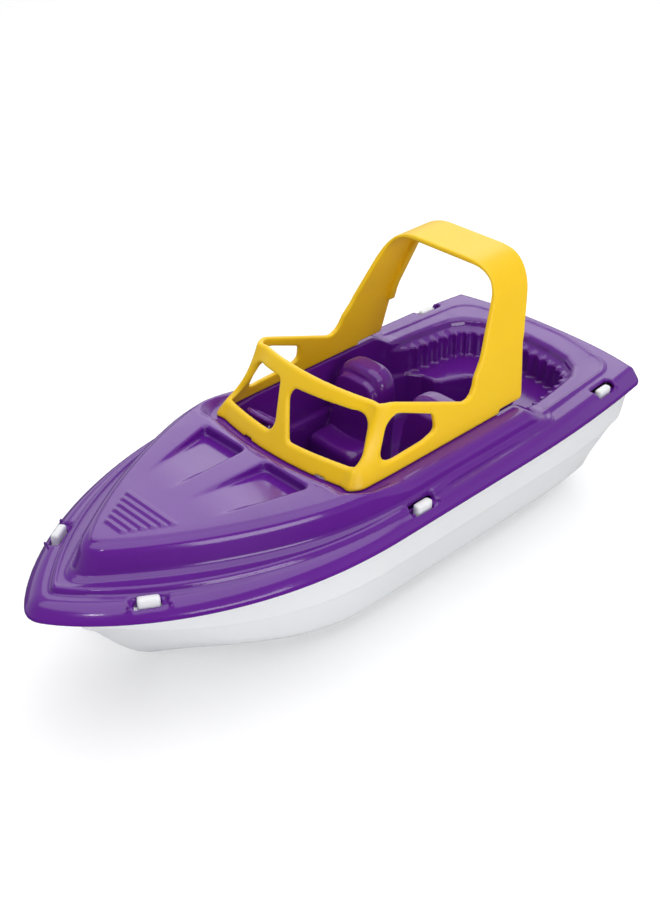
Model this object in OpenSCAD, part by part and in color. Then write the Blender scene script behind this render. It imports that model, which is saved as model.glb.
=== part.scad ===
// Toy speedboat: a white hull, a snapped-on deck moulding with its cockpit tub,
// and a windscreen-and-arch canopy that lifts off upward.
// Millimetres. Bow toward -Y, port side +X, keel skid on Z = 0.

/* [Outline] */
// Place of the bow tip ahead of the origin
bow_len = 127; // [120:1:135]
// Place of the transom edge behind the origin
stern_len = 131; // [126:1:136]
// Half of the deck's widest beam
half_beam = 53; // [50:0.5:56]
// Wall of the mouldings
wall = 1.8; // [1.5:0.1:2.2]

/* [Deck] */
// Height of the deck skirt's lower edge
skirt_z = 44.5; // [43:0.5:46]
// Height of the flat rear deck
deck_z = 52; // [51:0.5:53]
// Height of the coaming beside the cockpit
coaming_z = 58; // [57:0.5:60]
// Height of the raised foredeck
hump_z = 62; // [60:0.5:64]
// Height of the cockpit floor
floor_z = 20; // [18:1:26]
// Height of the rear bench
bench_z = 37.5; // [32:0.5:40]

/* [Cockpit] */
// Half width of the cockpit opening
tub_half = 33.5; // [32:0.5:34]
// Front end of the cockpit opening
tub_front = -18; // [-20:1:-14]
// Rear end of the lounge well
well_rear = 110; // [104:1:112]
// Width of one bucket seat
seat_w = 26; // [22:1:27]

/* [Canopy] */
// Half width of the canopy at its foot
foot_half = 37; // [36.5:0.5:37.5]
// Height of the windscreen's top rail
rail_z = 82; // [78:1:86]
// Half width of the windscreen's top rail
rail_half = 32; // [30:0.5:33]
// Height of the arch
arch_z = 109.5; // [100:0.5:115]
// Half width of the arch's top band
arch_half = 25.5; // [22:0.5:28]
// Wall of the canopy
canopy_wall = 2; // [1.8:0.1:2.4]

/* [Hull] */
// Height of the side chine at midships
chine_z = 28; // [24:1:32]
// Width of one snap tab
tab_w = 6.5; // [5:0.5:8]

/* [Hidden] */
eps = 0.05;
gap = 0.35;
bow_turns = 16;
slot_w = tab_w + 3.5;
slot_t = 4.6;
tab_t = 2.6;
tab_top = 51.6;
tab_root = 3.8;
// Each tab's half spacing, place along the boat and heading of the rim there
tabs = [[23.8, -99, 58], [48.2, -2.6, 90], [45.4, 102, 93]];
centre_y = (stern_len - bow_len) / 2;
leg_proud = 0.12;
leg_wall = canopy_wall + 0.3;
screen_rear = 95;
tongue_w = 7;
tongue_t = canopy_wall - 0.4;
tongue_deep = 4.5;
skid_half = 9;
skid_front = -48;
skid_rear = 92;

// Half width at y of a plan curve that starts at the bow, opens over run and ends w wide
function half_at(y, start, run, w, q) =
    y <= start ? 0 : w * pow(1 - pow(max(0, 1 - (y - start) / run), 2.2), q);

// Plan curve of half widths from the bow start to the rear, narrowing aft by pinch
function side_points(start, run, w, q, rear, pinch) = concat(
    [for (i = [0 : bow_turns]) let (y = start + min(run, rear - start) * pow(i / bow_turns, 1.7))
        [half_at(y, start, run, w, q), y]],
    [for (y = [30, 50, 70, 90, 110, rear]) if (y <= rear && y > start + run)
        [w - (y > 50 ? pinch * pow((y - 50) / 60, 2) : 0), y]]);

module plan(start, run, w, q, rear, pinch = 3.2, bulge = 5) {
    side = side_points(start, run, w, q, rear - bulge, pinch);
    n = len(side) - 1;
    back = [for (i = [1 : 7]) let (x = side[n][0] * (1 - i / 4)) [x, rear - bulge * pow(x / side[n][0], 2)]];
    polygon(concat(side, back, [for (i = [n : -1 : 1]) [-side[i][0], side[i][1]]]));
}

module slab(z, h = eps) { translate([0, 0, z]) linear_extrude(h) children(); }

// Plan of the whole deck, rounded at the bow and the stern corners, drawn in by d
module deck_plan(d = 0) {
    offset(delta = -d) offset(r = 5, $fn = 24) offset(delta = -5)
        plan(-bow_len, 112, half_beam, 0.68, stern_len);
}

// The deck's outside as stacked convex steps; in gives the same shape drawn in by a wall
module deck_mass(in = 0) {
    hull() {
        slab(skirt_z - (in > 0 ? 1 : 0)) deck_plan(in);
        slab(skirt_z + 2.5) deck_plan(in + 0.3);
    }
    hull() {
        slab(skirt_z + 2.4) deck_plan(in + 0.3);
        slab(49.2 - in) deck_plan(in + 2);
        slab(51 - in) deck_plan(in + 4.6);
    }
    hull() {
        slab(50 - in) plan(-117 + in, 110, 49 - in, 0.68, 120 - in);
        slab(deck_z - in) plan(-116 + in, 110, 48 - in, 0.68, 119 - in);
    }
    hull() {
        slab(deck_z - in - 0.2) plan(-108 + in, 104, 45.6 - in, 0.72, 68 - in, 0, 1);
        slab(coaming_z - 1.5 - in) plan(-105.5 + in, 102, 43.8 - in, 0.85, 66 - in, 0, 1);
        slab(coaming_z - in) plan(-104 + in, 102, 42.4 - in, 0.9, 64 - in, 0, 1);
    }
    hull() {
        slab(coaming_z - in - 0.4) plan(-103 + in, 99, 43.5 - in, 0.92, -28.5 - in, 0, 1);
        slab(hump_z - in) plan(-100 + in, 98, 41.8 - in, 0.97, -33 - in, 0, 1);
    }
}

// Opening of the cockpit and lounge, drawn out by out
module tub_plan(out = 0) {
    offset(r = 6 + out, $fn = 24) offset(delta = -6)
        polygon([[-tub_half, tub_front], [tub_half, tub_front], [tub_half, 72],
            [27.5, well_rear - 3], [12, well_rear], [-12, well_rear], [-27.5, well_rear - 3], [-tub_half, 72]]);
}

module footwell_plan() {
    offset(r = 4, $fn = 24) offset(delta = -4)
        polygon([[-tub_half + 1, tub_front + 1], [tub_half - 1, tub_front + 1], [tub_half - 1, 66],
            [25, 76.5], [17, 78], [12, 94], [-12, 94], [-17, 78], [-25, 76.5], [-tub_half + 1, 66]]);
}

module tub_space(out = 0) {
    slab(floor_z - out, 60) offset(delta = out) footwell_plan();
    slab(bench_z - out, 60) tub_plan(out);
}

module seat(side) {
    translate([side * 17.3, 0, 0]) {
        hull() {
            slab(floor_z) translate([-seat_w / 2 + 1, 20.5]) square([seat_w - 2, 16]);
            slab(floor_z + 11) translate([-seat_w / 2, 19]) square([seat_w, 18]);
            slab(floor_z + 14) translate([-seat_w / 2 + 3, 22]) square([seat_w - 6, 14]);
        }
        hull() {
            slab(floor_z) translate([-seat_w / 2, 32]) square([seat_w, 11.5]);
            slab(coaming_z - 8) translate([-seat_w / 2 + 1, 32.5]) square([seat_w - 2, 11]);
            slab(coaming_z + 3) translate([-seat_w / 2 + 6, 36]) square([seat_w - 12, 5.5]);
        }
    }
}

module dash() {
    hull() {
        slab(floor_z) translate([-tub_half + 2, tub_front - 1]) square([2 * tub_half - 4, 12]);
        slab(46) translate([-tub_half + 2, tub_front - 1]) square([2 * tub_half - 4, 10]);
        slab(51) translate([-tub_half + 2, tub_front - 1]) square([2 * tub_half - 4, 4]);
    }
    translate([-15, tub_front + 9, 44]) rotate([-52, 0, 0]) scale([1, 0.8, 1])
        cylinder(r = 8, h = 4, $fn = 32);
}

// Two tapered recesses in the foredeck, deepest at their rear walls; out grows them by a wall
module scoop(side, out = 0) {
    hull() {
        slab(hump_z - 3.4 - out, 6) translate([side * 16 - 9.5 - out, -36]) square([19 + 2 * out, 1.5 + out]);
        slab(hump_z - 0.2 - out, 6) translate([side * 11 - 8 - out, -63 - out]) square([16 + 2 * out, 1]);
    }
}

module louvres() {
    for (i = [0 : 5])
        hull() slab(hump_z - 0.1, 0.9)
            translate([-12.2 + 1.55 * i, -79.6 - 2.75 * i]) square([2 * (12.2 - 1.55 * i), 1.5]);
}

module at_tabs() {
    for (t = tabs, side = [1, -1])
        translate([side * t[0], t[1], 0]) rotate(side * t[2]) children();
}

module at_tongues() {
    for (side = [1, -1]) {
        translate([side * 17, -24.2, 0]) rotate(side * 14) children();
        translate([side * (foot_half - canopy_wall / 2 - 0.3), 44, 0]) rotate(90) children();
    }
}

module deck() {
    color("indigo") difference() {
        union() {
            difference() {
                deck_mass(0);
                difference() {
                    deck_mass(wall);
                    scoop(1, wall);
                    scoop(-1, wall);
                }
            }
            intersection() {
                tub_space(wall);
                union() { deck_mass(0.5); slab(floor_z - wall, 27) tub_plan(wall); }
            }
        }
        difference() {
            tub_space(0);
            intersection() {
                union() {
                    seat(1);
                    seat(-1);
                    dash();
                }
                slab(floor_z - 1, 60) offset(delta = -0.01) footwell_plan();
            }
        }
        scoop(1);
        scoop(-1);
        at_tabs() translate([-slot_w / 2, -slot_t / 2, skirt_z]) cube([slot_w, slot_t, 20]);
        at_tongues() translate([-tongue_w / 2 - gap, -tongue_t / 2 - gap, coaming_z - 9])
            cube([tongue_w + 2 * gap, tongue_t + 2 * gap, 20]);
    }
    color("indigo") louvres();
}

// Hull section at y: keel, bottom edge, side chine and gunwale on the port side
function ease(a, b, y) = let (t = max(0, min(1, (y - a) / (b - a)))) t * t * (3 - 2 * t);
function keel_z(y) = y > -70 ? 1.2 : 1.2 + 40 * pow((-70 - y) / 48, 1.7);
function edge_x(y, in) = max(0.6, half_at(y, -120, 105, 40, 0.85) - in);
function edge_z(y) = 7 + 27 * pow(max(0, (-20 - y) / 98), 1.6);
function chine_x(y, in) = max(0.9, half_at(y, -122, 108, 47.5, 0.72) - in);
function rail_x(y, in) = max(1.2, half_at(y, -124, 110, 50.2, 0.68) - in);
function pinch(y) = y > 60 ? 7.5 * pow((y - 60) / 60, 2) : 0;
function section(y, in, top, shift) = let (
        ez = edge_z(y) + in, cz = chine_z + 8 * pow(max(0, (-30 - y) / 90), 1.5), p = pinch(y)) [
    [0, y, keel_z(y) + in],
    [min(skid_half, edge_x(y, in) * 0.6), y, keel_z(y) + in + 0.2],
    [edge_x(y, in) - p - 2.5, y, ez - 0.6],
    [edge_x(y, in) - p, y, ez + 2],
    [chine_x(y, in) - p - 0.9, y, cz - 1],
    [chine_x(y, in) - p, y + shift, cz],
    [rail_x(y, in) - p, y + shift, top]];
function mirrored(s) = concat(s, [for (i = [len(s) - 1 : -1 : 1]) [-s[i][0], s[i][1], s[i][2]]]);
function stern_lean(s, k) = [for (v = s) [v[0], v[1] + k * ease(8, 42, v[2]), v[2]]];

hull_ys = [-119, -117, -113, -108, -101, -92, -81, -68, -53, -37, -19, 2, 26, 51, 75, 94, 106];
hull_in_ys = [-115, -113, -109, -104.5, -98, -90, -79, -67, -52, -37, -19, 2, 26, 51, 75, 94, 104];
hull_top = skirt_z + 2;

// Both skins of the hull joined round the gunwale, so it is one closed shell
module hull_shell() {
    out = [for (i = [0 : len(hull_ys) - 1]) let (y = hull_ys[i], s = section(y, 0, hull_top, 0))
        mirrored(stern_lean(s, i == len(hull_ys) - 1 ? 17 : i == len(hull_ys) - 2 ? 9 : 0))];
    in = [for (i = [0 : len(hull_in_ys) - 1]) let (y = hull_in_ys[i], s = section(y, wall, hull_top, 0))
        mirrored(stern_lean(s, i == len(hull_ys) - 1 ? 17 : i == len(hull_ys) - 2 ? 9 : 0))];
    n = len(out);
    m = len(out[0]);
    half = (m + 1) / 2;
    pts = concat([for (s = out, v = s) v], [for (s = in, v = s) v]);
    function o(i, j) = i * m + (j + m) % m;
    function k(i, j) = n * m + i * m + (j + m) % m;
    top_p = half - 1;
    top_s = half;
    faces = concat(
        [for (i = [0 : n - 2], j = [0 : m - 1]) if (j != top_p) each [
            [o(i, j), o(i + 1, j), o(i + 1, j + 1)], [o(i, j), o(i + 1, j + 1), o(i, j + 1)]]],
        [for (i = [0 : n - 2], j = [0 : m - 1]) if (j != top_p) each [
            [k(i, j), k(i + 1, j + 1), k(i + 1, j)], [k(i, j), k(i, j + 1), k(i + 1, j + 1)]]],
        [for (j = [1 : m - 2]) [o(0, 0), o(0, j), o(0, j + 1)]],
        [for (j = [1 : m - 2]) [o(n - 1, 0), o(n - 1, j + 1), o(n - 1, j)]],
        [for (j = [1 : m - 2]) [k(0, 0), k(0, j + 1), k(0, j)]],
        [for (j = [1 : m - 2]) [k(n - 1, 0), k(n - 1, j), k(n - 1, j + 1)]],
        [for (i = [0 : n - 2]) each [
            [o(i, top_p), o(i + 1, top_p), k(i + 1, top_p)], [o(i, top_p), k(i + 1, top_p), k(i, top_p)],
            [o(i, top_s), k(i + 1, top_s), o(i + 1, top_s)], [o(i, top_s), k(i, top_s), k(i + 1, top_s)]]],
        [[o(0, top_p), k(0, top_p), k(0, top_s)], [o(0, top_p), k(0, top_s), o(0, top_s)],
         [o(n - 1, top_p), k(n - 1, top_s), k(n - 1, top_p)],
         [o(n - 1, top_p), o(n - 1, top_s), k(n - 1, top_s)]]);
    polyhedron(pts, [for (f = faces) [f[2], f[1], f[0]]], convexity = 6);
}

module snap_tabs() {
    at_tabs() {
        translate([-tab_w / 2, -tab_t / 2, hull_top - 4]) cube([tab_w, tab_t, tab_top - hull_top + 4]);
        translate([-tab_w / 2, tab_t / 2 - tab_root, hull_top - 4]) cube([tab_w, tab_root, 4]);
    }
}

module hull_moulding() {
    color("white") union() {
        hull_shell();
        translate([-skid_half, skid_front, 0]) cube([2 * skid_half, skid_rear - skid_front, 2.6]);
        snap_tabs();
    }
}

// Canopy plan at its foot and at the top rail, both running aft past the side outline's rear edge
module foot_plan(in = 0) {
    offset(r = 7, $fn = 32) offset(delta = -7 - in)
        polygon(concat([for (i = [-4 : 4]) [i * foot_half / 4, -27 + 7 * pow(i / 4, 2)]],
            [[foot_half, screen_rear], [-foot_half, screen_rear]]));
}

module rail_plan(in = 0) {
    offset(r = 6, $fn = 32) offset(delta = -6 - in)
        polygon(concat([for (i = [-4 : 4]) [i * rail_half / 4, -8.5 + 7 * pow(i / 4, 2)]],
            [[rail_half - 3.5, screen_rear], [3.5 - rail_half, screen_rear]]));
}

// Side outline of the windscreen, from the foot up to the sloping side rail
module screen_side() {
    polygon([[-32, coaming_z + 0.4], [-32, rail_z + 0.5], [0, rail_z + 0.5], [33, 69.6],
        [38.5, 71], [43, 75], [69, 72], [63.5, coaming_z + 0.4]]);
}

module screen_shell() {
    intersection() {
        difference() {
            hull() { slab(coaming_z - 1) foot_plan(0); slab(rail_z) rail_plan(0); }
            hull() { slab(coaming_z - 1.2) foot_plan(canopy_wall); slab(rail_z + 0.2) rail_plan(canopy_wall); }
        }
        rotate([90, 0, 90]) translate([0, 0, -60]) linear_extrude(120) screen_side();
    }
}

// Window openings: two in front, one each side
module front_window(side) {
    hull() for (p = [[side > 0 ? 3 : 7, 64.5], [29, 65], [28, 76], [24.5, 77], [side > 0 ? -3 : 11, 76]])
        translate([side * p[0], 0, p[1]]) rotate([90, 0, 0]) cylinder(r = 1.5, h = 32, $fn = 16);
}

module side_window(side) {
    hull() for (p = [[-4, 64.5], [11, 65], [15.5, 66.5], [15.5, 70.5], [0, 76.5], [-3, 76], [-6.5, 68]])
        translate([side * 22, p[0], p[1]]) rotate([0, side * 90, 0]) cylinder(r = 1.5, h = 22, $fn = 16);
}

// Half width of the arch at height z, and its front and rear edges there
function leg_x(z) = foot_half - (foot_half - arch_half) * (z - coaming_z) / (arch_z - coaming_z);
leg_steps = [[coaming_z + 0.33, 33, 63.2], [66, 36, 63.6], [75, 39.8, 64.4], [90, 48.2, 69], [101.5, 54.6, 73]];

module leg_strip(side, z, front, rear, thick = eps) {
    translate([side * (leg_x(z) + leg_proud - leg_wall / 2) - leg_wall / 2, front, z])
        cube([leg_wall, rear - front, thick]);
}

// End of the arch's flat top band, where a leg's rounded corner meets it
module top_corner(side) {
    translate([side * (arch_half - 8) - 1, 56, arch_z - canopy_wall]) cube([2, 20.4, canopy_wall]);
}

module arch_leg(side) {
    last = len(leg_steps) - 1;
    for (i = [0 : last - 1]) hull() {
        leg_strip(side, leg_steps[i][0], leg_steps[i][1], leg_steps[i][2]);
        leg_strip(side, leg_steps[i + 1][0], leg_steps[i + 1][1], leg_steps[i + 1][2]);
    }
    hull() {
        leg_strip(side, leg_steps[last][0], leg_steps[last][1], leg_steps[last][2]);
        top_corner(side);
    }
}

module canopy() {
    color("gold") difference() {
        union() {
            screen_shell();
            arch_leg(1);
            arch_leg(-1);
            hull() for (side = [1, -1]) top_corner(side);
            at_tongues() translate([-tongue_w / 2, -tongue_t / 2, coaming_z - tongue_deep])
                cube([tongue_w, tongue_t, tongue_deep + 3]);
        }
        for (side = [1, -1]) {
            front_window(side);
            side_window(side);
        }
    }
}

module centred() { translate([0, -centre_y, 0]) children(); }

centred() hull_moulding();  // hull
centred() deck();
centred() canopy();
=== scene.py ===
"""Toy speedboat: white hull, purple deck with its cockpit tub, yellow windscreen and arch.

Each moulding is drawn as a field of signed distances in millimetres, in the plan frame of the
boat (x to port, y aft, z up), turned into a smooth mesh, and moved into the CAD frame in metres.
"""
import math

import bpy
import numpy as np
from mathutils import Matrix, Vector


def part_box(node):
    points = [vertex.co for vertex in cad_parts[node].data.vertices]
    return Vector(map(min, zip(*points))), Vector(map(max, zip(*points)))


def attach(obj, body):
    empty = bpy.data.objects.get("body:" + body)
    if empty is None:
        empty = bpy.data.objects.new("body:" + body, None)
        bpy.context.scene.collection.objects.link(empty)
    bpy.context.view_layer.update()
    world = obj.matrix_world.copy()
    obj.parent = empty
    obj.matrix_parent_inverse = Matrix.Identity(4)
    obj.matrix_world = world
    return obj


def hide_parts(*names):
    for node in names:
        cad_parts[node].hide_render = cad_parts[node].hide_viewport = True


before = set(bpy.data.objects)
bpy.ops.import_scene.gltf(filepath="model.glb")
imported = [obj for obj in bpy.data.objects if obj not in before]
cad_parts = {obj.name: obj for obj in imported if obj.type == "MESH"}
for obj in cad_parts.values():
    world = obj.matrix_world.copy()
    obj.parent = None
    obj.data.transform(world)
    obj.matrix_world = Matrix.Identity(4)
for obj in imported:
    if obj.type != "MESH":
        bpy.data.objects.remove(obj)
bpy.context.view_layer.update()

MM = 0.001
# The deck's stern along the plan frame's y, and the shift from there to the CAD frame
STERN = 131.0
SHIFT_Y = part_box("deck")[1][1] / MM - STERN


# ---------------------------------------------------------------- distance fields
# A length past every edge of the boat
BEYOND = 300.0


def smooth_min(a, b, k):
    """The smaller of two distances, with a fillet k wide where they cross."""
    h = np.maximum(k - np.abs(a - b), 0) / k
    return np.minimum(a, b) - h * h * k * 0.25


def smooth_max(a, b, k):
    """The larger of two distances, with a rounded edge k wide where they cross."""
    return -smooth_min(-a, -b, k)


def polygon_distance(px, py, points):
    """Signed distance from each place to a closed outline, negative inside."""
    pts = np.asarray(points, np.float32)
    nearest = np.full(px.shape, 1e9, np.float32)
    inside = np.zeros(px.shape, bool)
    for (ax, ay), (bx, by) in zip(pts, np.roll(pts, -1, axis=0)):
        ex, ey = bx - ax, by - ay
        length2 = ex * ex + ey * ey
        if length2 < 1e-12:
            continue
        wx, wy = px - ax, py - ay
        t = np.clip((wx * ex + wy * ey) / length2, 0, 1)
        nearest = np.minimum(nearest, (wx - t * ex) ** 2 + (wy - t * ey) ** 2)
        cross = (ay > py) != (by > py)
        if ay != by:
            inside ^= cross & (px < ax + (py - ay) / (by - ay) * ex)
    return np.where(inside, -1, 1) * np.sqrt(nearest)


def along_outline(px, py, points):
    """Length along an open outline to its nearest place."""
    pts = np.asarray(points, np.float32)
    nearest = np.full(px.shape, 1e9, np.float32)
    run, length = np.zeros(px.shape, np.float32), 0.0
    for (ax, ay), (bx, by) in zip(pts[:-1], pts[1:]):
        ex, ey = bx - ax, by - ay
        size = math.hypot(ex, ey)
        wx, wy = px - ax, py - ay
        t = np.clip((wx * ex + wy * ey) / (size * size), 0, 1)
        gap = (wx - t * ex) ** 2 + (wy - t * ey) ** 2
        run = np.where(gap < nearest, length + t * size, run)
        nearest = np.minimum(nearest, gap)
        length += size
    return run


def ease(lo, hi, v):
    """0 at lo and 1 at hi, with no slope at either end."""
    t = np.clip((v - lo) / (hi - lo), 0, 1)
    return t * t * (3 - 2 * t)


def half_at(y, start, run, wide, power, bend=2.2):
    """Half width at y of a plan curve that opens from 0 at start to wide over run."""
    t = np.clip((y - start) / run, 0, 1)
    return wide * (1 - (1 - t) ** bend) ** power


def port_side(start, run, wide, power, rear, bend=2.2, pinch=3.2, narrow=0.0, bulge=5.0, corner=6.0):
    """Port half of a boat-shaped outline: flaring bow, pinched quarter, rounded corner, bowed end.

    The quarter is drawn in by pinch near the stern, and by narrow for each mm aft of amidships.
    """
    end = rear - bulge
    opened = min(run, end - corner - start - 6)
    bow = start + opened * np.linspace(0, 1, 46) ** 1.8
    side = [(half_at(y, start, run, wide, power, bend), y) for y in bow]
    for y in np.linspace(start + opened + 3, end - corner, 18):
        drawn_in = pinch * max(0, (y - 50) / 60) ** 2 + narrow * ease(-14, 14, y) * max(0, y)
        side.append((half_at(y, start, run, wide, power, bend) - drawn_in, y))
    x_end = side[-1][0]
    for a in np.radians(np.linspace(12, 90, 8)):
        side.append((x_end - corner * (1 - math.cos(a)), end - corner * (1 - math.sin(a))))
    x_end = side[-1][0]
    for t in np.linspace(0.85, 0, 9):
        side.append((x_end * t, rear - bulge * t * t))
    return side


def plan(x2, y2, nose, **curve):
    """Distance to a boat-shaped outline whose bow point is rounded by nose."""
    side = port_side(**curve)
    ahead = np.subtract(side[0], side[1])
    far = side[0] + ahead / np.hypot(*ahead) * BEYOND
    port = [tuple(far)] + side + [(-BEYOND, side[-1][1])]
    u = np.abs(x2)
    distance = smooth_max(polygon_distance(u, y2, port), polygon_distance(-u, y2, port), nose)
    return distance[..., None]


def mirrored_outline(side):
    """A closed outline from its port side, listed from the bow to the stern."""
    return side + [(-x, y) for x, y in side[::-1] if x > 0]


def bend_between(first, corner, last, steps=4):
    """Points on the smooth bend that leaves first toward corner and comes from there into last."""
    first, corner, last = np.array(first), np.array(corner), np.array(last)
    points = []
    for t in np.linspace(0, 1, steps + 1):
        points.append(tuple((1 - t) ** 2 * first + 2 * t * (1 - t) * corner + t * t * last))
    return points


# ---------------------------------------------------------------- fields to meshes
CORNERS = [(i, j, k) for i in (0, 1) for j in (0, 1) for k in (0, 1)]
EDGES = [(a, b) for a in CORNERS for b in CORNERS if sum(np.abs(np.subtract(a, b))) == 1 and a < b]


def trilinear(field, spots):
    """The field's value at places between its grid points."""
    top = np.array(field.shape) - 2
    cell = np.clip(np.floor(spots).astype(int), 0, top)
    f = spots - cell
    out = np.zeros(len(spots))
    for c in CORNERS:
        w = np.ones(len(spots))
        for axis in range(3):
            w = w * (f[:, axis] if c[axis] else 1 - f[:, axis])
        i, j, k = (cell + c).T
        out += w * field[i, j, k]
    return out


def surface(field):
    """Surface nets: one vertex in each cell that the surface crosses, one quad on each crossed edge."""
    inside = field < 0
    count = np.zeros(tuple(n - 1 for n in field.shape), np.uint8)
    nx, ny, nz = count.shape
    for i, j, k in CORNERS:
        count += inside[i:i + nx, j:j + ny, k:k + nz]
    active = (count > 0) & (count < 8)
    index = np.full(active.shape, -1, np.int64)
    index[active] = np.arange(active.sum())
    cells = np.argwhere(active)
    total, hits = np.zeros((len(cells), 3)), np.zeros(len(cells))
    for a, b in EDGES:
        fa = field[tuple((cells + a).T)]
        fb = field[tuple((cells + b).T)]
        cross = (fa < 0) != (fb < 0)
        t = (fa[cross] / (fa[cross] - fb[cross]))[:, None]
        total[cross] += np.array(a) + t * np.subtract(b, a)
        hits[cross] += 1
    verts = cells + total / hits[:, None]
    quads = []
    for axis in range(3):
        u, v = [a for a in range(3) if a != axis]
        lo = [slice(1, -1)] * 3
        hi = [slice(1, -1)] * 3
        lo[axis], hi[axis] = slice(0, -1), slice(1, None)
        first, second = inside[tuple(lo)], inside[tuple(hi)]
        for leaving in (True, False):
            at = np.argwhere((first != second) & (first == leaving))
            at[:, u] += 1
            at[:, v] += 1
            ring = []
            for du, dv in ((-1, -1), (0, -1), (0, 0), (-1, 0)):
                c = at.copy()
                c[:, u] += du
                c[:, v] += dv
                ring.append(index[tuple(c.T)])
            quad = np.stack(ring, axis=1)
            if leaving == (axis == 1):
                quad = quad[:, ::-1]
            quads.append(quad)
    return verts, np.concatenate(quads)


def settle(field, verts, rounds=3):
    """Moves each vertex onto the field's true zero."""
    slopes = np.gradient(field)
    for _ in range(rounds):
        value = trilinear(field, verts)
        g = np.stack([trilinear(s, verts) for s in slopes], axis=1)
        step = value / np.maximum((g * g).sum(axis=1), 1e-3)
        step = np.clip(step, -0.4, 0.4)
        verts = verts - g * step[:, None]
    g = np.stack([trilinear(s, verts) for s in slopes], axis=1)
    return verts, g / np.maximum(np.linalg.norm(g, axis=1), 1e-6)[:, None]


def mesh_of(name, points, faces):
    """A Blender mesh from arrays of points and of equal-sized faces."""
    mesh = bpy.data.meshes.new(name)
    size = faces.shape[1]
    mesh.vertices.add(len(points))
    mesh.vertices.foreach_set("co", points.astype(np.float32).ravel())
    mesh.loops.add(faces.size)
    mesh.loops.foreach_set("vertex_index", faces.astype(np.int32).ravel())
    mesh.polygons.add(len(faces))
    mesh.polygons.foreach_set("loop_start", np.arange(0, faces.size, size, dtype=np.int32))
    mesh.polygons.foreach_set("loop_total", np.full(len(faces), size, np.int32))
    mesh.update(calc_edges=True)
    mesh.validate()
    return mesh


def thinned(mesh, limit):
    """Collapses the flatter places of a mesh until at most limit triangles are left."""
    triangles = 2 * len(mesh.polygons)
    obj = bpy.data.objects.new("thinning", mesh)
    bpy.context.scene.collection.objects.link(obj)
    tool = obj.modifiers.new("collapse", "DECIMATE")
    tool.ratio = min(1.0, limit / triangles)
    tool.use_collapse_triangulate = True
    done = bpy.data.meshes.new_from_object(obj.evaluated_get(bpy.context.evaluated_depsgraph_get()))
    bpy.data.objects.remove(obj)
    return done


def moulding(name, shape, lo, hi, voxel, limit=190000):
    """Meshes shape(x, y, z) within the box lo to hi, all in the plan frame's millimetres."""
    axes = [np.arange(lo[i], hi[i] + voxel, voxel, dtype=np.float32) for i in range(3)]
    x = axes[0][:, None, None]
    y = axes[1][None, :, None]
    z = axes[2][None, None, :]
    field = np.ascontiguousarray(shape(x, y, z), np.float32)
    verts, quads = surface(field)
    verts, _ = settle(field, verts)
    mesh = thinned(mesh_of(name, verts, quads), limit)
    verts = np.empty(len(mesh.vertices) * 3, np.float32)
    mesh.vertices.foreach_get("co", verts)
    verts, normals = settle(field, verts.reshape(-1, 3).astype(float), 1)
    points = (verts * voxel + np.array([a[0] for a in axes]) + [0, SHIFT_Y, 0]) * MM
    mesh.vertices.foreach_set("co", points.astype(np.float32).ravel())
    mesh.polygons.foreach_set("use_smooth", np.ones(len(mesh.polygons), bool))
    mesh.update()
    mesh.normals_split_custom_set_from_vertices(normals)
    mesh.name = name
    piece = bpy.data.objects.new(name, mesh)
    bpy.context.scene.collection.objects.link(piece)
    return piece


# ---------------------------------------------------------------- the boat's plan
# Outside of the deck: its skirt's edge, flange, shelf, coaming, foredeck hump and raised panel
SKIRT_Z, FLANGE_Z, SHELF_Z, COAMING_Z, HUMP_Z, PANEL_Z = 44.5, 50.2, 51.6, 58.0, 61.9, 62.2
# Cockpit tub: its floor, rear bench, the ledge round the rear well, half width, front and rear end
FLOOR_Z, BENCH_Z, LEDGE_Z = 20.0, 37.5, 48.5
TUB_HALF, TUB_FRONT, WELL_REAR = 33.5, -17.0, 111.5
TUB_WALL = 3.2
SEAT_X, SEAT_LEAN, SEAT_TOP = 18.3, 0.1, 61.4
# Steering wheel: centre, aft and up parts of its axis, and rim radius
WHEEL_AT, WHEEL_AXIS, WHEEL_RADIUS = (-19.5, -11.0, 55.5), (0.62, 0.78), 8.2
FLUTE_PITCH, FLUTE_DEPTH = 5.4, 1.05
LOUVRE_PITCH, LOUVRE_FIRST, LOUVRE_LAST = 2.75, -93.8, -78.3
SCOOP_REAR = -34.0
# Wall of the hull and the deck
WALL = 1.8
# The hull's top edge, which the deck's skirt hides, and the top of its snap tabs
GUNWALE_Z, TAB_TOP = 46.4, 51.6
# Plan curves of the deck, from the outside in
RIM = dict(nose=3, start=-127.8, run=113, wide=52.2, power=0.78, rear=STERN, corner=4)
SHELF = dict(nose=1.2, start=-118.3, run=110, wide=48.2, power=0.86, rear=125.5, pinch=0, narrow=0.075,
             corner=13)
HUMP_FOOT = dict(nose=8, start=-112, run=106, wide=45.2, power=1.0, bend=2.0)
HUMP_TOP = dict(nose=9, start=-107, run=101, wide=45.0, power=0.9, bend=1.62)
PANEL = dict(nose=1.5, start=-102.5, run=99, wide=42.5, power=0.85, bend=1.62)
HUMP_END = dict(rear=74, pinch=0, bulge=1, corner=5)
# Each snap tab's half spacing, place along the boat and heading of the rim there
TABS = [(23.8, -99.0, 58.0), (48.2, -2.6, 90.0), (45.4, 102.0, 93.0)]


def block(x, y, z, centre, half, heading=0.0, lean=0.0, k=0.8):
    """A rounded block: half sizes along its heading, across it and up; lean tips its top aft."""
    c, s = math.cos(math.radians(heading)), math.sin(math.radians(heading))
    rx, ry, rz = x - centre[0], y - centre[1] - lean * (z - centre[2]), z - centre[2]
    u, v = rx * c + ry * s, ry * c - rx * s
    return smooth_max(smooth_max(np.abs(u) - half[0], np.abs(v) - half[1], k), np.abs(rz) - half[2], k)


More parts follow.
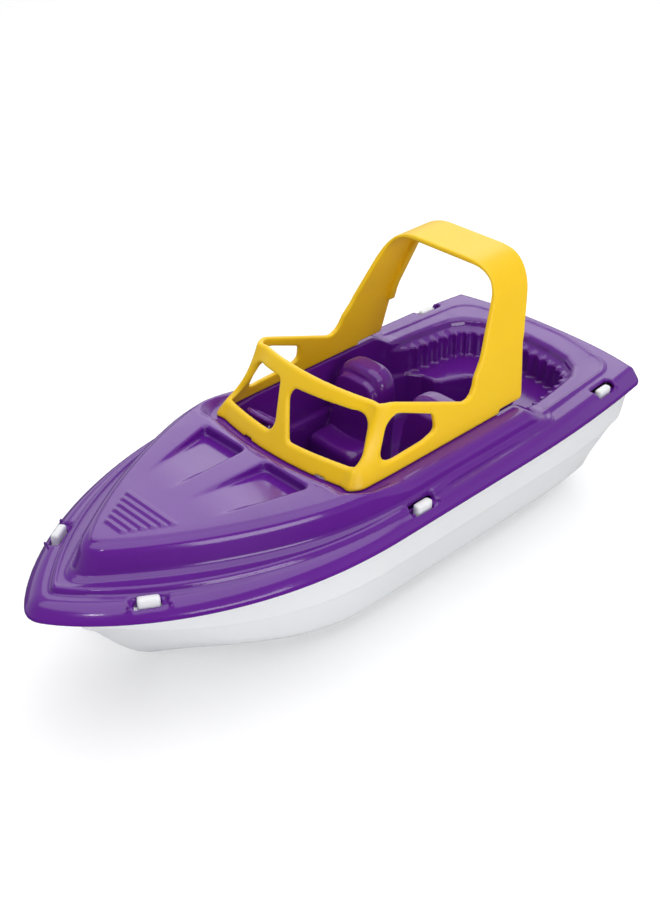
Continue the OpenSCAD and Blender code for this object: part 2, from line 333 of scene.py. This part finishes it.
def at_tabs(x, y, z, half, centre_z, k, along=0.0, across=0.0):
    """The same block at all six snap tabs, moved along the rim and inboard of it."""
    parts = []
    for tx, ty, heading in TABS:
        c, s = math.cos(math.radians(heading)), math.sin(math.radians(heading))
        at = (tx + along * c - across * s, ty + along * s + across * c, centre_z)
        parts.append(block(np.abs(x), y, z, at, half, heading, 0.0, k))
    return np.minimum.reduce(parts)


def seat(x, y, z, side):
    """A bucket seat: a dished cushion and a tall thick back with a padded front."""
    u = x - side * SEAT_X
    cushion = block(u, y, z, (0, 27.4, 25), (12.6, 9.5, 9), k=4)
    dish = np.sqrt(u * u * 0.5 + (y - 27) ** 2 * 0.8 + (z - 43.6) ** 2) - 10.6
    cushion = smooth_max(cushion, -dish, 2.5)
    tilt = y - 37.4 - SEAT_LEAN * (z - 45)
    back = smooth_max(np.abs(u) - 13.0 + 0.06 * (z - 40), z - SEAT_TOP, 9)
    back = smooth_max(back, np.abs(tilt) - 5.0, 3.8)
    pad = smooth_max(np.abs(u) - 11.2 + 0.1 * (z - 44), np.abs(z - 44) - 13.2, 7)
    pad = smooth_max(pad, np.abs(tilt + 4.8) - 2.4, 1.2)
    return smooth_min(smooth_min(cushion, back, 3), pad, 0.8)


def dash(x, y, z):
    """The dash across the front of the tub, with a steering wheel to starboard and a bump to port."""
    top = 50.5 - 0.55 * (y - TUB_FRONT)
    shelf = smooth_max((z - top) * 0.87, y - TUB_FRONT - 11, 5)
    hx, hy, hz = x - WHEEL_AT[0], y - WHEEL_AT[1], z - WHEEL_AT[2]
    aft, up = WHEEL_AXIS
    along = aft * hy + up * hz
    across = np.sqrt(hx * hx + (hy - aft * along) ** 2 + (hz - up * along) ** 2 + 1e-6)
    wheel = np.sqrt((across - WHEEL_RADIUS) ** 2 + (along - 1.4) ** 2) - 1.15
    spoke = smooth_max(np.abs(np.abs(hx) * 0.5 - np.abs(hy + 1) * 0.2) - 0.9, across - WHEEL_RADIUS, 0.5)
    spoke = smooth_max(spoke, np.abs(along - 0.9) - 0.8, 0.5)
    column = smooth_max(across - 2.8 + 0.12 * along, along - 2.2, 1.0)
    wheel = smooth_min(wheel, np.minimum(spoke, np.maximum(column, -along - 14)), 0.8)
    bump = block(x, y, z, (17, -7, 44), (9, 6, 5), k=5)
    return smooth_min(smooth_min(shelf, bump, 2.5), wheel, 1.0)


def scoops(x, y, z):
    """Two tapered recesses in the foredeck, deepest at their rear walls."""
    u = np.abs(x)
    run = (y - SCOOP_REAR + 30.5) / 30.5
    floor = PANEL_Z + 0.25 - 4.2 * np.clip(run, -1, 1.2)
    inner = 4.8 + 0.4 * run
    outer = 17.6 + 8.8 * run
    walls = smooth_max(smooth_max(inner - u, (u - outer) * 0.96, 1.5), y - SCOOP_REAR + 0.2, 2.6)
    return smooth_max(walls, floor - z, 1.2)


def louvres(x, y, z):
    """Six bars that shorten toward the bow, each a ridge that is steep on its forward side."""
    lane = (y - LOUVRE_FIRST) / LOUVRE_PITCH
    phase = lane - np.floor(lane)
    ridge = 1.05 * np.minimum(phase / 0.34, (1 - phase) / 0.66)
    half = 3.9 + (y - LOUVRE_FIRST) * 0.56
    bar = np.maximum(np.abs(x) - half, np.maximum(LOUVRE_FIRST - y, y - LOUVRE_LAST - 1.0))
    return smooth_max(bar, z - PANEL_Z - ridge + 0.3, 0.4)


def flutes(x2, y2, side):
    """Scallops that run round the rear well's walls, with their points inward."""
    run = along_outline(np.abs(x2), y2, side)
    return (FLUTE_DEPTH - np.sqrt(np.cos(math.pi * run / FLUTE_PITCH) ** 2 + 0.012)) * ease(76, 80, y2)


def deck_skin(x, y, z, x2, y2):
    """Outside of the deck: rim, flange, V-shaped shelf, rear panel, coaming and foredeck hump."""
    rim, shelf = plan(x2, y2, **RIM), plan(x2, y2, **SHELF)
    base, hump, plateau = (plan(x2, y2, **curve, **HUMP_END) for curve in (HUMP_FOOT, HUMP_TOP, PANEL))
    flange = FLANGE_Z + 2.0 * ease(20, 110, y)
    lean = 0.85 - 0.3 * ease(-80, -20, y)
    skin = smooth_max(rim + lean * np.maximum(0, z - GUNWALE_Z), z - flange, 2.6 - 1.4 * ease(60, 115, y))
    shelf_top = SHELF_Z + 0.5 * ease(-30, 60, y)
    skin = smooth_min(skin, smooth_max(shelf + 0.2 * (z - 50), z - shelf_top, 0.6), 0.5)
    bead = np.sqrt((shelf + 1.5) ** 2 + (z - shelf_top + 0.2) ** 2) - 0.85
    skin = smooth_min(skin, bead, 0.3)
    ledge = smooth_max(base - 1.5, z - SHELF_Z - 0.6, 0.6)
    skin = smooth_min(skin, ledge, 0.4)
    foot = foot_plan(x2, y2)
    rise = np.clip((z - 52.5) / 9.5, -0.3, 1.2)
    sides = base + (hump - base) * rise + 0.2 * (z - 52.5) * ease(-40, -10, y)
    top = COAMING_Z + (HUMP_Z - COAMING_Z) * ease(0.9, 5.5, foot) * ease(-2, -24, y)
    fade = 6.5 * ease(58, 72, y)
    mound = smooth_max(sides * 0.86, z - top + fade, 3.4)
    skin = smooth_min(skin, mound, 1.3)
    plateau = smooth_max(plateau, z - PANEL_Z - (top - HUMP_Z) + 2.0 * ease(7, 4, foot), 0.3)
    skin = smooth_min(skin, smooth_max(plateau, y + 20, 2), 0.3)
    skin = smooth_min(skin, louvres(x, y, z), 0.3)
    return smooth_max(skin, -scoops(x, y, z), 1.0)


def deck_shape(x, y, z):
    """The deck: its thin skin, the pockets for the snap tabs, and the closed tub with its fittings."""
    x2, y2 = np.broadcast_arrays(x[..., 0], y[..., 0])
    skin = deck_skin(x, y, z, x2, y2)
    shell = smooth_max(smooth_max(skin, SKIRT_Z - z, 0.9), -np.maximum(skin + WALL, SKIRT_Z - 5 - z), 0.5)
    # Pockets with a floor, two small nubs on each one's outer side, and the slots for the snap tabs
    shell = np.minimum(shell, np.maximum(at_tabs(x, y, z, (7.2, 3.4, 0.9), 48.0, 0.3), skin))
    shell = smooth_max(shell, -at_tabs(x, y, z, (6.1, 2.5, 3.0), 51.9, 1.6), 0.5)
    for end in (-6.4, 6.4):
        shell = smooth_min(shell, at_tabs(x, y, z, (0.55, 0.55, 0.9), 50.2, 0.5, end, -1.9), 0.5)
    shell = np.maximum(shell, -at_tabs(x, y, z, (4.3, 1.8, 6.0), 50.0, 0.4, -0.4))
    # Cockpit tub with its footwell, benches and fluted rear walls
    side = [(0, TUB_FRONT - 4), (18, TUB_FRONT - 3), (TUB_HALF - 2, TUB_FRONT + 3),
            (TUB_HALF, TUB_FRONT + 12), (TUB_HALF, 66), (32.5, 80), (31.0, 92), (29.5, 100), (26.5, 105.0),
            (21, 108.5), (12, WELL_REAR - 1), (0, WELL_REAR)]
    opening = polygon_distance(x2, y2, mirrored_outline(side))[..., None]
    ripple = flutes(x2, y2, side)[..., None]
    well = [(0, TUB_FRONT), (TUB_HALF - 3, TUB_FRONT + 1), (TUB_HALF - 2, 66), (29.5, 73), (24.5, 76.5),
            (18.5, 76.5), (15.5, 79), (13.5, 84), (11, 89.5), (7, 92.5), (0, 94)]
    footwell = polygon_distance(x2, y2, mirrored_outline(well))[..., None] - 1.0
    behind = ease(66, 76, y)
    fluted = ripple * ease(LEDGE_Z + 0.8, LEDGE_Z - 1.2, z)
    under = behind * (2.4 * ease(LEDGE_Z + 1.2, LEDGE_Z - 0.8, z) + 1.8 * fluted)
    lip = behind * 2.2 * np.clip((z - LEDGE_Z - 1.0) / 3.4, 0, 1.4) ** 2
    upper = smooth_max(opening - lip + under - 1.2 - 0.03 * (z - 58), BENCH_Z - z, 1.6)
    deep = smooth_max(footwell - 0.05 * (z - 30), FLOOR_Z - z, 4)
    cavity = smooth_min(upper, deep, 1.8)
    tub = np.maximum(np.maximum(cavity - TUB_WALL, skin), FLOOR_Z - 2 - z)
    solid = smooth_max(np.minimum(shell, tub), -cavity, 1.2)
    fittings = np.minimum(smooth_min(seat(x, y, z, 1), seat(x, y, z, -1), 0.5), dash(x, y, z))
    fittings = smooth_max(fittings, opening - 1.0, 1.0)
    return smooth_min(solid, np.maximum(fittings, FLOOR_Z - 1 - z), 2.0)


# ---------------------------------------------------------------- canopy
# Half widths and heights at the canopy's foot, at the windscreen's top rail and at the arch's top
FOOT_HALF, RAIL_HALF, ARCH_HALF = 37.0, 32.4, 25.6
FOOT_Z, RAIL_Z, ARCH_Z = 58.3, 82.6, 109.5
CANOPY_WALL = 2.0
# The outlines run on aft to here, behind the arch
CANOPY_REAR = 120
# Two small notches in the windscreen's lower front edge
NOTCHES = (-14.0, 21.0)


def screen_plan(x2, y2, half, front, bow, corner, rear_half):
    """Plan of the windscreen at one height: a bowed front, rounded corners and straight sides."""
    pts = [(half * t, front + bow * t * t) for t in np.linspace(0, 0.8, 9)]
    cx, cy = half - corner, front + bow + corner * 0.55
    for a in np.radians(np.linspace(38, 90, 8)):
        pts.append((cx + corner * math.sin(a), cy - corner * math.cos(a)))
    pts.append((rear_half, CANOPY_REAR))
    return polygon_distance(np.abs(x2), y2, mirrored_outline(pts))[..., None]


def foot_plan(x2, y2):
    """Plan of the canopy's foot, which the coaming's rise follows too."""
    return screen_plan(x2, y2, FOOT_HALF, front=-27.0, bow=5.0, corner=9.0, rear_half=FOOT_HALF)


def canopy_shape(x, y, z):
    """The canopy: a thin shell that leans inboard as it rises, cut out from the side and the front."""
    x2, y2 = np.broadcast_arrays(x[..., 0], y[..., 0])
    yz, zy = np.broadcast_arrays(y[0, :, :], z[0, :, :])
    foot = foot_plan(x2, y2)
    rail = screen_plan(x2, y2, RAIL_HALF, front=-9.0, bow=4.5, corner=7.5, rear_half=RAIL_HALF + 0.6)
    crown = screen_plan(x2, y2, ARCH_HALF, front=10.0, bow=4.0, corner=7.0, rear_half=ARCH_HALF)
    low = np.clip((z - COAMING_Z) / (RAIL_Z - COAMING_Z), -0.2, 1)
    high = np.clip((z - RAIL_Z) / (ARCH_Z - RAIL_Z), 0, 1)
    sides = 0.93 * ((foot * (1 - low) + rail * low) * (1 - high) + crown * high)
    outside = smooth_max(sides, z - ARCH_Z, 13.0)
    inside = smooth_max(sides + CANOPY_WALL, z - ARCH_Z + CANOPY_WALL, 9.0)
    shell = smooth_max(outside, -inside, 0.9)
    side = polygon_distance(yz, zy, side_outline())[None]
    shape = smooth_max(shell, side, 1.0)
    # A rib inside each leg along its rear edge
    rib = smooth_max(np.maximum(inside, -inside - 1.5) + 0 * side, np.maximum(side - 0.6, -side - 2.6), 0.6)
    rib = smooth_max(np.maximum(rib, np.maximum(75.2 - z, 60 - y)), z - 101, 3)
    shape = smooth_min(shape, rib, 0.5)
    shape = smooth_max(shape, -windows(x, y, z, yz, zy), 1.0)
    for notch in NOTCHES:
        shape = smooth_max(shape, -block(x, y, z, (notch, -25, FOOT_Z), (2.0, 4.0, 0.7), k=0.4), 0.3)
    return shape


def side_outline():
    """The canopy from the side: level rail, sweep up into the raked arch, and down its rear edge."""
    above = ARCH_Z + 4.5
    screen = [(-34, FOOT_Z), (-34, RAIL_Z), (-1.5, RAIL_Z), (0.5, RAIL_Z - 0.6)]
    sweep = bend_between((32.6, 69.6), (37.2, 69.0), (39.4, 76.0))
    front = [(43.0, 80.6), (48.3, 90.2), (54.0, 100.2), (55.8, 104.4), (56.5, 108), (56.6, above)]
    rear = [(76.6, above), (75.8, 108.5), (74.0, 104), (71.0, 95), (65.8, 80), (63.2, 61.0)]
    foot = [(62.4, FOOT_Z + 1.3), (50.6, FOOT_Z + 1.3), (50.0, FOOT_Z)]
    return screen + sweep + front + rear + foot


def windows(x, y, z, yz, zy):
    """Two panes in the bowed front, whose post leans to starboard, and one pane in each side."""
    xz, zx = np.broadcast_arrays(x[:, :, 0], z[0])
    port = polygon_distance(xz, zx, [(4.6, 66.0), (40, 66.6), (40, 76.4), (23.6, 76.2), (-2.2, 75.0)])
    starboard = polygon_distance(xz, zx, [(-8.2, 66.0), (-40, 66.0), (-40, 75.4), (-13.5, 75.4)])
    front = np.minimum(port, starboard)[:, None, :] - 2.6
    pane = polygon_distance(yz, zy, [(-30, 75.6), (-0.6, 75.9), (14.4, 69.6), (14.6, 67.2), (10.6, 66.3),
                                     (-30, 64.8)])
    # Both stop short of the corner post, which leans inboard as it rises
    post = (np.abs(x) + y - 21.1 - 0.3 * (z - 67.5)) * 0.7
    front = smooth_max(front, post + 2.9, 5.0)
    side = smooth_max(pane[None] - 2.6, 3.0 - post, 5.0)
    return np.minimum(front, side)


# ---------------------------------------------------------------- hull
def line_distance(x, z, first, second):
    """Distance to the line from first to second in the cross-section, positive outboard."""
    dx, dz = second[0] - first[0], second[1] - first[1]
    size = np.sqrt(dx * dx + dz * dz)
    return ((x - first[0]) * dz - (z - first[1]) * dx) / size


def hull_shape(x, y, z):
    """A V bottom, a lower side out to the chine, an upper side to the gunwale, and the snap tabs."""
    u = np.abs(x)
    # The sides draw in toward the stern, and the keel, bottom edge and chine rise toward the bow
    stern = 7.5 * np.maximum(0, (y - 75) / 60) ** 2
    keel = 0.8 + 36 * np.maximum(0, (-70 - y) / 42) ** 2
    edge = half_at(y, -106, 94, 38.5, 0.92) - stern
    edge_z = 7.0 + 24 * np.maximum(0, (-20 - y) / 98) ** 1.6
    chine = half_at(y, -113, 101, 47.2, 0.8) - stern
    chine_z = 29.0 + 7 * np.maximum(0, (-30 - y) / 90) ** 1.5
    rail = half_at(y, -117, 104, 50.0, 0.78) - stern
    slope = np.gradient(rail[0, :, 0], y[0, :, 0])[None, :, None]
    lean = 1 / np.sqrt(1 + slope * slope)
    bottom = line_distance(u, z, (0 * y, keel), (edge, edge_z))
    lower = line_distance(u, z, (edge, edge_z), (chine - 1.1, chine_z)) * lean
    upper = line_distance(u, z, (chine, chine_z), (rail, 0 * y + 47.0)) * lean
    below = smooth_max(bottom, lower, 4.0)
    above = smooth_max(upper, chine_z - z, 0.7)
    body = smooth_min(below, above, 0.8)
    body = np.maximum(body, upper)
    # The transom steps aft as it rises and bows out in the middle
    transom = 112 + 13.5 * ease(14, 33, z) - 3.5 * (x / 45) ** 2
    body = smooth_max(body, (y - transom) * 0.88, 3.0)
    shell = np.maximum(np.maximum(body, z - GUNWALE_Z), -(body + WALL))
    skid = block(x, y, z, (0, 22, 1.4), (9.0, 70.0, 1.4), k=0.5)
    shell = smooth_min(shell, skid, 0.8)
    roots = at_tabs(x, y, z, (3.6, 1.6, 1.2), GUNWALE_Z - 0.2, 0.4)
    roots = np.minimum(roots, at_tabs(x, y, z, (3.6, 3.2, 0.7), GUNWALE_Z - 0.7, 0.4, 0.0, 1.8))
    heads = at_tabs(x, y, z, (3.6, 1.5, 2.9), TAB_TOP - 2.9, 0.9)
    return np.minimum(shell, np.minimum(roots, heads))


# ---------------------------------------------------------------- materials
def plastic(name, colour, rough, coat, subsurface, grain, mottle):
    """Moulded plastic: mottled colour, a faint flow in its gloss and a fine skin texture."""
    mat = bpy.data.materials.new(name)
    mat.use_nodes = True
    nodes, links = mat.node_tree.nodes, mat.node_tree.links
    shader = nodes["Principled BSDF"]
    shader.inputs["Coat Weight"].default_value = coat
    shader.inputs["Coat Roughness"].default_value = 0.08
    shader.inputs["IOR"].default_value = 1.5
    shader.inputs["Subsurface Weight"].default_value = subsurface
    shader.inputs["Subsurface Radius"].default_value = (0.004, 0.003, 0.002)
    shader.inputs["Subsurface Scale"].default_value = 0.5
    place = nodes.new("ShaderNodeTexCoord")
    cloud = nodes.new("ShaderNodeTexNoise")
    cloud.inputs["Scale"].default_value = 28.0
    cloud.inputs["Detail"].default_value = 4.0
    links.new(place.outputs["Object"], cloud.inputs["Vector"])
    ramp = nodes.new("ShaderNodeValToRGB")
    ramp.color_ramp.interpolation = "EASE"
    ramp.color_ramp.elements[0].position, ramp.color_ramp.elements[1].position = 0.2, 0.8
    for element, tint in zip(ramp.color_ramp.elements, (1 - mottle, 1 + mottle)):
        element.color = [min(1.0, c * tint) for c in colour] + [1.0]
    links.new(cloud.outputs["Fac"], ramp.inputs["Fac"])
    links.new(ramp.outputs["Color"], shader.inputs["Base Color"])
    sheen = nodes.new("ShaderNodeMapRange")
    sheen.inputs["To Min"].default_value = rough * 0.85
    sheen.inputs["To Max"].default_value = rough * 1.2
    links.new(cloud.outputs["Fac"], sheen.inputs["Value"])
    links.new(sheen.outputs["Result"], shader.inputs["Roughness"])
    skin = nodes.new("ShaderNodeTexNoise")
    skin.inputs["Scale"].default_value = 900.0
    skin.inputs["Detail"].default_value = 3.0
    links.new(place.outputs["Object"], skin.inputs["Vector"])
    bump = nodes.new("ShaderNodeBump")
    bump.inputs["Strength"].default_value = grain
    bump.inputs["Distance"].default_value = 0.0001
    links.new(skin.outputs["Fac"], bump.inputs["Height"])
    links.new(bump.outputs["Normal"], shader.inputs["Normal"])
    return mat


PURPLE = plastic("purple_plastic", (0.122, 0.010, 0.275), rough=0.15, coat=0.25, subsurface=0.0, grain=0.05,
                 mottle=0.06)
YELLOW = plastic("yellow_plastic", (1.0, 0.61, 0.004), rough=0.36, coat=0.0, subsurface=0.3, grain=0.10,
                 mottle=0.03)
WHITE = plastic("white_plastic", (0.86, 0.87, 0.89), rough=0.34, coat=0.1, subsurface=0.08, grain=0.10,
                mottle=0.02)


def make(node, body, shape, lo, hi, voxel, material):
    piece = moulding(node + "_moulding", shape, lo, hi, voxel)
    piece.data.materials.append(material)
    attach(piece, body)
    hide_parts(node)


make("deck", "root", deck_shape, (-55, -131, 15), (55, 134, 66), 0.58, PURPLE)
make("canopy", "canopy", canopy_shape, (-39, -31, 55), (39, 84, 113), 0.45, YELLOW)
make("hull", "root", hull_shape, (-53, -128, -2), (53, 131, 54), 0.7, WHITE)


# ---------------------------------------------------------------- camera, stage and light
def camera():
    """Looks down on the port bow from the photograph's angle."""
    azimuth, elevation, lens, distance = math.radians(45.84), math.radians(33.28), 53.27, 0.4782
    level = math.cos(elevation)
    back = np.array([math.sin(azimuth) * level, -math.cos(azimuth) * level, math.sin(elevation)])
    target = np.array([0, (0.93 + SHIFT_Y) * MM, 0.048])
    data = bpy.data.cameras.new("camera")
    data.lens, data.sensor_width, data.clip_start = lens, 36, 0.01
    cam = bpy.data.objects.new("camera", data)
    cam.location = target + distance * back
    cam.rotation_euler = (math.pi / 2 - elevation, 0, azimuth)
    bpy.context.scene.collection.objects.link(cam)
    bpy.context.scene.camera = cam


def floor():
    """A white floor that glows a little, so that it stays as pale as the sky."""
    half = 2.2
    mesh = bpy.data.meshes.new("floor")
    mesh.from_pydata([(-half, -half, 0), (half, -half, 0), (half, half, 0), (-half, half, 0)], [],
                     [(0, 1, 2, 3)])
    obj = bpy.data.objects.new("floor", mesh)
    mat = bpy.data.materials.new("floor")
    mat.use_nodes = True
    paint = mat.node_tree.nodes["Principled BSDF"].inputs
    paint["Base Color"].default_value = (0.97, 0.97, 0.97, 1)
    paint["Roughness"].default_value = 0.9
    paint["Emission Color"].default_value = (1, 1, 1, 1)
    paint["Emission Strength"].default_value = 0.14
    mesh.materials.append(mat)
    bpy.context.scene.collection.objects.link(obj)
    obj.visible_glossy = False


def softbox(name, place, size, radiance):
    """A soft rectangular light that faces the boat."""
    data = bpy.data.lights.new(name, "AREA")
    data.shape, data.size, data.size_y = "RECTANGLE", size[0], size[1]
    data.energy = radiance * math.pi * size[0] * size[1]
    obj = bpy.data.objects.new(name, data)
    obj.location = place
    way = np.subtract((0, 0, 0.04), place)
    tilt = math.atan2(way[2], math.hypot(way[0], way[1]))
    obj.rotation_euler = (math.pi / 2 + tilt, 0, math.atan2(way[1], way[0]) - math.pi / 2)
    bpy.context.scene.collection.objects.link(obj)


def sky():
    """A pale sky, brightest at the horizon and dim below it, which the camera sees as plain white."""
    world = bpy.data.worlds.new("world")
    bpy.context.scene.world = world
    world.use_nodes = True
    nodes, links = world.node_tree.nodes, world.node_tree.links
    place = nodes.new("ShaderNodeTexCoord")
    split = nodes.new("ShaderNodeSeparateXYZ")
    links.new(place.outputs["Generated"], split.inputs["Vector"])
    height = nodes.new("ShaderNodeMapRange")
    height.inputs["From Min"].default_value, height.inputs["From Max"].default_value = -1.0, 1.0
    links.new(split.outputs["Z"], height.inputs["Value"])
    ramp = nodes.new("ShaderNodeValToRGB")
    stops = ramp.color_ramp.elements
    stops[0].position, stops[1].position = 0.44, 0.5
    stops[0].color, stops[1].color = (0.14, 0.14, 0.15, 1), (0.9, 0.9, 0.91, 1)
    for at, level in ((0.6, 0.85), (0.8, 0.55)):
        stop = stops.new(at)
        stop.color = (level, level, level * 1.02, 1)
    links.new(height.outputs["Result"], ramp.inputs["Fac"])
    links.new(ramp.outputs["Color"], nodes["Background"].inputs["Color"])
    # The sky behind the boat is its bright side
    toward = nodes.new("ShaderNodeVectorMath")
    toward.operation = "DOT_PRODUCT"
    toward.inputs[1].default_value = (-0.7, 0.7, 0.15)
    links.new(place.outputs["Generated"], toward.inputs[0])
    level = nodes.new("ShaderNodeMapRange")
    level.inputs["From Min"].default_value, level.inputs["From Max"].default_value = -0.9, 0.9
    level.inputs["To Min"].default_value, level.inputs["To Max"].default_value = 0.2, 1.0
    links.new(toward.outputs["Value"], level.inputs["Value"])
    links.new(level.outputs["Result"], nodes["Background"].inputs["Strength"])
    white = nodes.new("ShaderNodeBackground")
    white.inputs["Color"].default_value = (1, 1, 1, 1)
    seen, pick = nodes.new("ShaderNodeLightPath"), nodes.new("ShaderNodeMixShader")
    links.new(seen.outputs["Is Camera Ray"], pick.inputs["Fac"])
    links.new(nodes["Background"].outputs["Background"], pick.inputs[1])
    links.new(white.outputs["Background"], pick.inputs[2])
    links.new(pick.outputs["Shader"], nodes["World Output"].inputs["Surface"])


camera()
floor()
sky()
softbox("overhead", (0.05, 0.0, 1.0), (1.4, 1.3), 1.32)
softbox("back_left", (-0.75, 0.75, 0.75), (0.9, 0.7), 1.3)
softbox("camera_right", (1.0, -0.25, 0.42), (0.55, 0.45), 4.1)
softbox("glint", (0.55, -0.95, 1.15), (0.12, 0.12), 16.0)
bpy.context.scene.view_settings.view_transform = "Standard"
